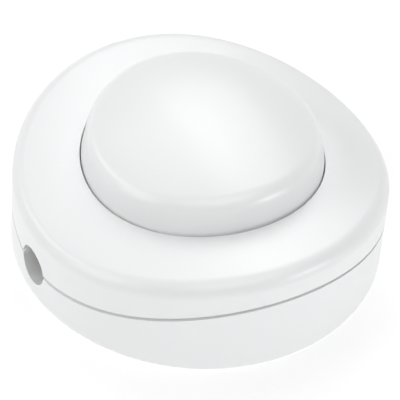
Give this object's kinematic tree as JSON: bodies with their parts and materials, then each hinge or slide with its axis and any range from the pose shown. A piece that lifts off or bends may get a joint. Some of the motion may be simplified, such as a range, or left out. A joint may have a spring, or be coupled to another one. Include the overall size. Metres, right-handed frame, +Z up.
{
  "type": "in-line foot switch",
  "caption": "Round floor switch for a lamp cord: arched two-part white case, large crowned push button, cord holes at both ends and a ratchet contact inside.",
  "frame": {"origin": "centre of the base underside, on the floor", "axes": "+Z up through the button, X along the cord line from inlet to outlet"},
  "size_m": [0.072, 0.072, 0.0325],
  "materials": {
    "case_white": "fine satin grain, as moulded",
    "button_white": "smooth satin gloss",
    "insert_plastic": "natural ivory moulding",
    "slide_plastic": "smooth waxy moulding",
    "brass": "stamped and milled, bright",
    "contact_silver": "bright contact tips",
    "steel": "zinc plated",
    "spring_steel": "drawn wire and strip"
  },
  "bodies": {
    "housing": {"base_shell": "case_white", "top_cover": "case_white", "mechanism_carrier": "insert_plastic", "cord_clamp_inlet": "insert_plastic", "cord_clamp_outlet": "insert_plastic", "contact_strip_in": "brass", "contact_strip_out": "brass", "line_in_terminal": "brass", "line_out_terminal": "brass", "neutral_terminal": "brass", "earth_terminal": "brass", "contact_rivets": "contact_silver", "pivot_pin": "steel", "rotor_retainer": "steel", "terminal_screws": "steel", "clamp_screws": "steel", "carrier_screws": "steel", "cover_screws": "steel", "return_spring": "spring_steel", "detent_leaf": "spring_steel"},
    "button": {"push_button": "button_white", "drive_plunger": "slide_plastic"},
    "rotor": {"ratchet_rotor": "slide_plastic", "contact_cross": "brass", "contact_washer": "spring_steel"}
  },
  "joints": [
    {"name": "button_press", "type": "slide", "parent": "housing", "child": "button", "axis": [0, 0, -1], "range_m": [0, 0.0035], "stiffness_N_per_m": 900, "springref_m": -0.006, "deforming": ["return_spring"]},
    {"name": "rotor_turn", "type": "hinge", "parent": "housing", "child": "rotor", "pos_m": [0, 0, 0.01], "axis": [0, 0, 1], "range_deg": [0, 31.5], "deforming": ["detent_leaf"]}
  ],
  "couplings": [
    {"joint": "rotor_turn", "follows": "button_press", "rad_per_m": 154.59}
  ]
}
